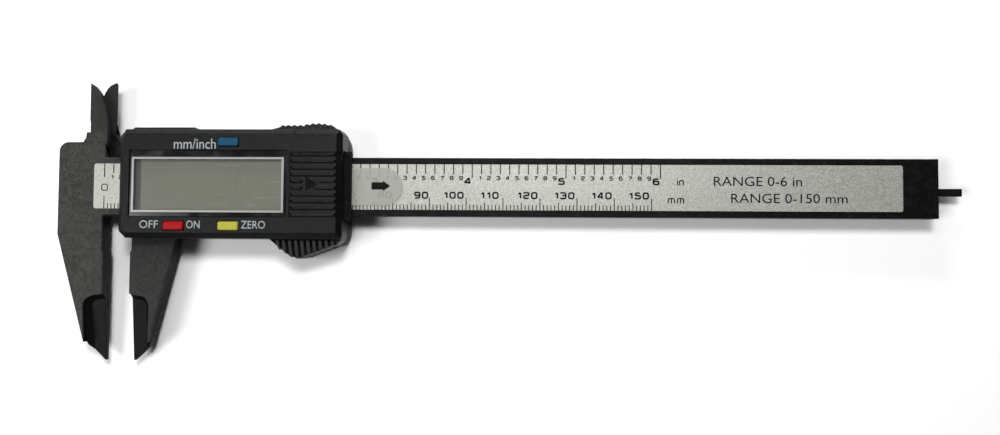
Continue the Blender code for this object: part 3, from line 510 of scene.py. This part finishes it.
# ---------------------------------------------------------------- printed scale
PRINT_THICKNESS = 0.012
PRINT_GAP = 0.004     # between the print and what it lies on
CORNER_STEPS = 4      # steps in which a stroke turns a corner
NUMERALS = {
    # strokes on a square one unit wide and high; True closes the stroke
    "0": [([(0, 0), (1, 0), (1, 1), (0, 1)], True)],
    "1": [([(0.1, 0.74), (0.55, 1), (0.55, 0)], False)],
    "2": [([(0, 0.86), (0, 1), (1, 1), (1, 0.52), (0, 0.46), (0, 0), (1, 0)], False)],
    "3": [([(0, 0.86), (0, 1), (1, 1), (1, 0), (0, 0), (0, 0.14)], False),
          ([(0.3, 0.53), (0.98, 0.53)], False)],
    "4": [([(0.78, 0), (0.78, 1), (0.62, 1), (0, 0.34), (0, 0.26), (1, 0.26)], False)],
    "5": [([(0.95, 1), (0.06, 1), (0, 0.56), (1, 0.58), (1, 0), (0, 0), (0, 0.14)], False)],
    "6": [([(0.95, 1), (0, 1), (0, 0), (1, 0), (1, 0.58), (0.02, 0.58)], False)],
    "7": [([(0, 1), (1, 1), (1, 0.86), (0.4, 0.35), (0.4, 0)], False)],
    "8": [([(0, 0), (1, 0), (1, 1), (0, 1)], True), ([(0.02, 0.53), (0.98, 0.53)], False)],
    "9": [([(0.05, 0), (1, 0), (1, 1), (0, 1), (0, 0.44), (0.98, 0.44)], False)],
    "i": [([(0.1, 0.7), (0.1, 0)], False), ([(0.1, 0.9), (0.1, 1.0)], False)],
    "n": [([(0, 0), (0, 0.7), (0.8, 0.7), (0.8, 0)], False)],
    "m": [([(0, 0), (0, 0.7), (1.3, 0.7), (1.3, 0)], False), ([(0.65, 0.66), (0.65, 0)], False)],
}
ADVANCE = {"1": 0.72, "i": 0.2, "n": 0.8, "m": 1.3}

# numeral width, numeral height, stroke, and gap to the next numeral
MM_STYLE = (1.75, 1.95, 0.43, 0.38)
ZERO_STYLE = (1.85, 1.95, 0.26, 0.0)
INCH_STYLE = (1.9, 1.92, 0.46, 0.0)
TENTH_STYLE = (1.08, 1.18, 0.27, 0.0)
UNIT_STYLE = (1.6, 2.2, 0.31, 0.35)
MM_TICK_WIDTH = 0.25
INCH_TICK_WIDTH = 0.28


def softened(points, radius, closed):
    """Turns each corner of a stroke into a short curve."""
    smooth = []
    count = len(points)
    for i, point in enumerate(points):
        if not closed and i in (0, count - 1):
            smooth.append(point)
            continue
        here = Vector(point)
        back, ahead = Vector(points[i - 1]) - here, Vector(points[(i + 1) % count]) - here
        reach = min(radius, back.length * 0.5, ahead.length * 0.5)
        first, last = here + back.normalized() * reach, here + ahead.normalized() * reach
        for step in range(CORNER_STEPS + 1):
            t = step / CORNER_STEPS
            smooth.append(tuple(first * (1 - t) ** 2 + here * (2 * t * (1 - t)) + last * t ** 2))
    return smooth


def ribbon(bm, points, width, height, closed):
    """A flat band of a given width along a stroke."""
    count = len(points)
    sides = []
    for i in range(count):
        here = Vector(points[i])
        back = here - Vector(points[i - 1]) if closed or i > 0 else None
        ahead = Vector(points[(i + 1) % count]) - here if closed or i < count - 1 else None
        back = back if back is not None and back.length > 1e-6 else ahead
        ahead = ahead if ahead is not None and ahead.length > 1e-6 else back
        run = (back.normalized() + ahead.normalized()).normalized()
        across = Vector((-run.y, run.x))
        stretch = max(0.5, across.dot(Vector((-ahead.y, ahead.x)).normalized()))
        offset = across * (width / 2 / stretch)
        sides.append([bm.verts.new(((here.x + s * offset.x) * MM, (here.y + s * offset.y) * MM,
                                    height * MM)) for s in (1, -1)])
    for i in range(count if closed else count - 1):
        (a, b), (c, d) = sides[i], sides[(i + 1) % count]
        bm.faces.new((a, b, d, c))


def draw_numeral(bm, mark, left, base, width, height, stroke, z):
    for points, closed in NUMERALS[mark]:
        inset = stroke / 2
        placed = [(left + inset + x * (width - stroke), base + inset + y * (height - stroke))
                  for x, y in points]
        ribbon(bm, softened(placed, 0.28 * min(width, height), closed), stroke, z, closed)


def draw_number(bm, text, left, base, style, z):
    """Writes a number whose first numeral starts at left."""
    width, height, stroke, gap = style
    for mark in text:
        draw_numeral(bm, mark, left, base, width, height, stroke, z)
        left += width * ADVANCE.get(mark, 1.0) + gap


def printed(name, bm, body, look="ink_black"):
    """Gives flat print its thickness and makes it a piece."""
    bmesh.ops.recalc_face_normals(bm, faces=bm.faces)
    for face in bm.faces:
        if face.normal.z < 0:
            face.normal_flip()
    obj = new_object(name, bm)
    solid = obj.modifiers.new("thickness", "SOLIDIFY")
    solid.thickness = PRINT_THICKNESS * MM
    solid.offset = -1.0
    return place_piece(obj, name, body, look)


def mm_tick_length(i):
    """The zero tick is the longest, then whole centimetres, then halves."""
    if i == 0:
        return 3.4
    if i % 10 == 0:
        return 3.25
    return 2.0 if i % 5 == 0 else 1.4


def draw_mm_scale(ticks, numerals, bottom, z):
    """Millimetre ticks up from the lower edge, numbered every ten."""
    for i in range(151):
        ribbon(ticks, [(i, bottom), (i, bottom + mm_tick_length(i))], MM_TICK_WIDTH, z, False)
    for i in range(10, 151, 10):
        left = i - (6.2 if i >= 100 else 4.2)
        draw_number(numerals, str(i), left, bottom + 3.0, MM_STYLE, z)
    draw_number(numerals, "0", -0.85, bottom + 4.85, ZERO_STYLE, z)


def draw_inch_scale(ticks, numerals, top, z):
    """Tenths of an inch down from the upper edge, each numbered, whole inches larger."""
    for i in range(61):
        x = i * INCH / 10
        whole, tenth = divmod(i, 10)
        drop = 2.65 if tenth else 3.75
        ribbon(ticks, [(x, top), (x, top - drop)], INCH_TICK_WIDTH, z, False)
        if tenth:
            left = x - (0.75 if tenth == 1 else 1.05)
            draw_number(numerals, str(tenth), left, top - 4.28, TENTH_STYLE, z)
        elif whole:
            draw_number(numerals, str(whole), x - 2.15, top - 5.5, INCH_STYLE, z)


def make_scale():
    """The silver label with its two scales. Returns the height of the print's face."""
    low, high = box_mm("scale_label")
    corner_radius = 0.55
    margin = 0.02
    unit_x = 156.5
    outline = rounded_rectangle((low.x, high.x), (low.y, high.y), corner_radius)
    label = plate("scale_label_fine", outline, (low.z, high.z))
    place_piece(label, "scale_label_fine", "beam", "silver_label")
    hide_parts("scale_label")

    z = high.z + PRINT_GAP + PRINT_THICKNESS
    ticks, numerals = bmesh.new(), bmesh.new()
    bottom, top = low.y + margin, high.y - margin
    draw_mm_scale(ticks, numerals, bottom, z)
    draw_inch_scale(ticks, numerals, top, z)
    draw_number(numerals, "in", unit_x + 0.15, top - 5.65, UNIT_STYLE, z)
    draw_number(numerals, "mm", unit_x - 2.21, bottom + 1.85, UNIT_STYLE, z)
    printed("scale_ticks", ticks, "beam")
    printed("scale_numerals", numerals, "beam")
    return z


def lettering(name, text, x, y, top, body, look):
    """Plain sans lettering stretched to fill a box, with its top at the given height."""
    curve = bpy.data.curves.new(name, "FONT")
    curve.body = text
    curve.size = 1.0
    curve.resolution_u = 4
    guide = bpy.data.objects.new(name + "_guide", curve)
    bpy.context.scene.collection.objects.link(guide)
    bpy.context.view_layer.update()
    mesh = bpy.data.meshes.new_from_object(guide.evaluated_get(
        bpy.context.evaluated_depsgraph_get()))
    bpy.data.objects.remove(guide)
    xs = [v.co.x for v in mesh.vertices]
    ys = [v.co.y for v in mesh.vertices]
    for vert in mesh.vertices:
        share_x = (vert.co.x - min(xs)) / (max(xs) - min(xs))
        share_y = (vert.co.y - min(ys)) / (max(ys) - min(ys))
        vert.co = Vector((x[0] + (x[1] - x[0]) * share_x, y[0] + (y[1] - y[0]) * share_y,
                          top)) * MM
    bm = bmesh.new()
    bm.from_mesh(mesh)
    bmesh.ops.remove_doubles(bm, verts=bm.verts, dist=0.001 * MM)
    bpy.data.meshes.remove(mesh)
    return printed(name, bm, body, look)


def make_legends(scale_z):
    """The words beside the buttons, and the two range lines at the end of the label."""
    _, high = box_mm("front_cover")
    z = high.z + PRINT_GAP + PRINT_THICKNESS
    line = (-11.75, -9.66)
    for name, text, x, y in (
            ("legend_off", "OFF", (12.9, 17.9), line),
            ("legend_on", "ON", (25.6, 29.25), line),
            ("legend_zero", "ZERO", (40.4, 46.9), line),
            ("legend_units", "mm/inch", (21.8, 33.2), (9.55, 12.35))):
        lettering(name, text, x, y, z, "head", "ink_grey")
    for name, text, x, y in (
            ("range_inch", "RANGE 0-6 in", (166.6, 190.0), (0.55, 3.1)),
            ("range_mm", "RANGE 0-150 mm", (171.2, 202.0), (-4.0, -1.45))):
        lettering(name, text, x, y, scale_z, "beam", "ink_black")


# ---------------------------------------------------------------- display
def drop_inner_faces(bm):
    """Joins slabs that touch and deletes the faces between them."""
    near = 0.001 * MM
    bmesh.ops.remove_doubles(bm, verts=bm.verts, dist=near)
    middles = {face: face.calc_center_median() for face in bm.faces}
    inner = [face for face in bm.faces if any(
        other is not face and (middles[other] - middles[face]).length < near
        for other in bm.faces)]
    bmesh.ops.delete(bm, geom=inner, context="FACES")


def make_display():
    """The black border, the clear lens over the glass, the polariser and the silver frame."""
    low, high = box_mm("display_window")
    frame_low, frame_high = box_mm("display_frame")
    bar = 0.6
    inner_x = (frame_low.x + bar, frame_high.x - bar)
    inner_y = (frame_low.y + bar, frame_high.y - bar)
    border = bmesh.new()
    for x, y in (((low.x, inner_x[0]), (low.y, high.y)), ((inner_x[1], high.x), (low.y, high.y)),
                 ((inner_x[0], inner_x[1]), (low.y, inner_y[0])),
                 ((inner_x[0], inner_x[1]), (inner_y[1], high.y))):
        slab(border, x, y, (low.z, high.z))
    drop_inner_faces(border)
    border = new_object("display_border", border)
    place_piece(border, "display_border", "head", "window_black")
    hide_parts("display_window")

    gap = 0.02
    lens_radius = 0.15
    lens = plate("display_lens", rounded_rectangle(
        (inner_x[0] + gap, inner_x[1] - gap), (inner_y[0] + gap, inner_y[1] - gap), lens_radius),
        (low.z + 0.3, high.z - 0.05))
    place_piece(lens, "display_lens", "head", "window_clear")

    _, glass_high = box_mm("lcd_glass")
    film_x, film_y = (12.27, 50.9), (-7.4, 7.0)
    film_radius, film_thickness = 0.2, 0.1
    film = plate("lcd_polariser", rounded_rectangle(film_x, film_y, film_radius),
                 (glass_high.z + gap, glass_high.z + gap + film_thickness))
    place_piece(film, "lcd_polariser", "head", "lcd_film")
    refined("display_frame", "head", "frame_silver", 0.05, 2)


# ---------------------------------------------------------------- pull tab
def make_pull_tab():
    """The film, with the arrow that is printed on its free end."""
    refined("battery_pull_tab", "pull_tab", "film", 0.02, 1, crease=30.0)
    low, _ = box_mm("battery_pull_tab")
    front = 0.1      # height of the tab's front above its lowest point
    z = low.z + front + PRINT_GAP + PRINT_THICKNESS
    shaft, head, middle = 0.98, 1.4, 0.25
    left, neck, tip = 74.2, 77.3, 79.3
    bm = bmesh.new()
    outline = [(left, middle - shaft), (neck, middle - shaft), (neck, middle - head),
               (tip, middle), (neck, middle + head), (neck, middle + shaft), (left, middle + shaft)]
    bm.faces.new([bm.verts.new((x * MM, y * MM, z * MM)) for x, y in outline])
    printed("pull_tab_arrow", bm, "pull_tab", "ink_black")


# ---------------------------------------------------------------- stage, lights, camera
FLOOR_HALF = 6.0          # metres
FLOOR_X = 0.1             # metres
FLOOR_GAP = 0.00002       # metres, below the lowest point of the model

LAMP_TARGET = Vector((110, 0, 0))
LAMPS = (
    # name, place, size, power in watts
    ("top_lamp", (182, 216, 800), (120, 120), 0.64),
    ("left_lamp", (-530, -176, 800), (420, 420), 6.1),
    ("near_lamp", (130, 160, 420), (80, 80), 1.08),
    ("near_left_lamp", (20, 150, 420), (80, 80), 0.30),
    ("top_rim", (54, 370, 163), (180, 120), 0.85),
)
WORLD_STRENGTH = 0.04

SENSOR_WIDTH = 36.0
LENS = 32.4
CAMERA_PLACE = Vector((118.85, -18.38, 248.24))
CAMERA_TURN = (-2.266, -2.401, -0.380)     # yaw, pitch and roll in degrees


def make_floor():
    low, _ = CAD_BOX
    bm = bmesh.new()
    bmesh.ops.create_grid(bm, x_segments=2, y_segments=2, size=FLOOR_HALF)
    floor = new_object("floor", bm)
    floor.location = (FLOOR_X, 0.0, low[2] - FLOOR_GAP)
    floor.data.materials.append(floor_paper("floor_paper"))


def area_light(name, place, target, size, power):
    """A rectangular lamp, placed and aimed in millimetres."""
    light = bpy.data.lights.new(name, "AREA")
    light.shape = "RECTANGLE"
    light.size, light.size_y = size[0] * MM, size[1] * MM
    light.energy = power
    obj = bpy.data.objects.new(name, light)
    obj.location = Vector(place) * MM
    aim = (target - Vector(place)).to_track_quat("-Z", "Y")
    obj.rotation_euler = aim.to_euler()
    bpy.context.scene.collection.objects.link(obj)


def make_lights():
    for name, place, size, power in LAMPS:
        area_light(name, place, LAMP_TARGET, size, power)
    world = bpy.data.worlds.new("soft_room")
    world.use_nodes = True
    background = world.node_tree.nodes["Background"]
    background.inputs["Color"].default_value = (1.0, 1.0, 1.0, 1.0)
    background.inputs["Strength"].default_value = WORLD_STRENGTH
    bpy.context.scene.world = world
    bpy.context.scene.view_settings.view_transform = "Standard"
    bpy.context.scene.view_settings.look = "None"


def make_camera():
    """A camera nearly overhead, right of the head, turned a little to the left and down."""
    yaw, pitch, roll = (math.radians(angle) for angle in CAMERA_TURN)
    camera = bpy.data.cameras.new("camera")
    camera.sensor_width = SENSOR_WIDTH
    camera.lens = LENS
    camera.clip_start = 0.01
    obj = bpy.data.objects.new("camera", camera)
    turn = (Matrix.Rotation(roll, 4, "Z") @ Matrix.Rotation(pitch, 4, "X")
            @ Matrix.Rotation(yaw, 4, "Y"))
    obj.matrix_world = Matrix.Translation(CAMERA_PLACE * MM) @ turn.transposed()
    bpy.context.scene.collection.objects.link(obj)
    bpy.context.scene.camera = obj


# ---------------------------------------------------------------- the whole model
def dress_inner_nodes():
    looks = {
        "scale_pcb": "circuit_board", "main_pcb": "circuit_board", "gib_spring": "brass",
        "controller_chip": "epoxy", "display_connector": "elastomer", "lcd_glass": "lcd_glass",
        "display_holder": "holder_plastic", "battery_cell": "steel",
        "battery_contact_positive": "brass", "battery_contact_negative": "brass",
        "contact_dome_mm_inch": "steel", "contact_dome_power": "steel",
        "contact_dome_zero": "steel", "pcb_screw_1": "steel", "pcb_screw_2": "steel",
    }
    for node, look in looks.items():
        dress(NODES[node], look)


def make_casings():
    refined("beam", "beam", "beam_plastic", 0.15, 3, least_area=0.6)
    refined("carriage", "head", "jaw_plastic", 0.13, 3, least_area=0.6)
    refined("back_plate", "head", "head_plastic", 0.2, 3)
    refined("front_cover", "head", "head_plastic", 0.13, 2, least_area=3.0,
            crease=24.0)
    refined("battery_door", "door", "head_plastic", 0.05, 1, least_area=3.0,
            crease=12.0)
    refined("depth_rod", "head", "rod_plastic", 0.1, 2)
    for name, look in (("mm_inch", "blue"), ("power", "red"), ("zero", "yellow")):
        refined(f"button_{name}", f"{name}_button", f"button_{look}", 0.42, 4)
    for i in range(1, 5):
        refined(f"case_screw_{i}", "head", "steel", 0.05, 1)


def main():
    make_camera()
    make_floor()
    make_lights()
    dress_inner_nodes()
    make_casings()
    scale_z = make_scale()
    make_legends(scale_z)
    make_display()
    make_pull_tab()


main()
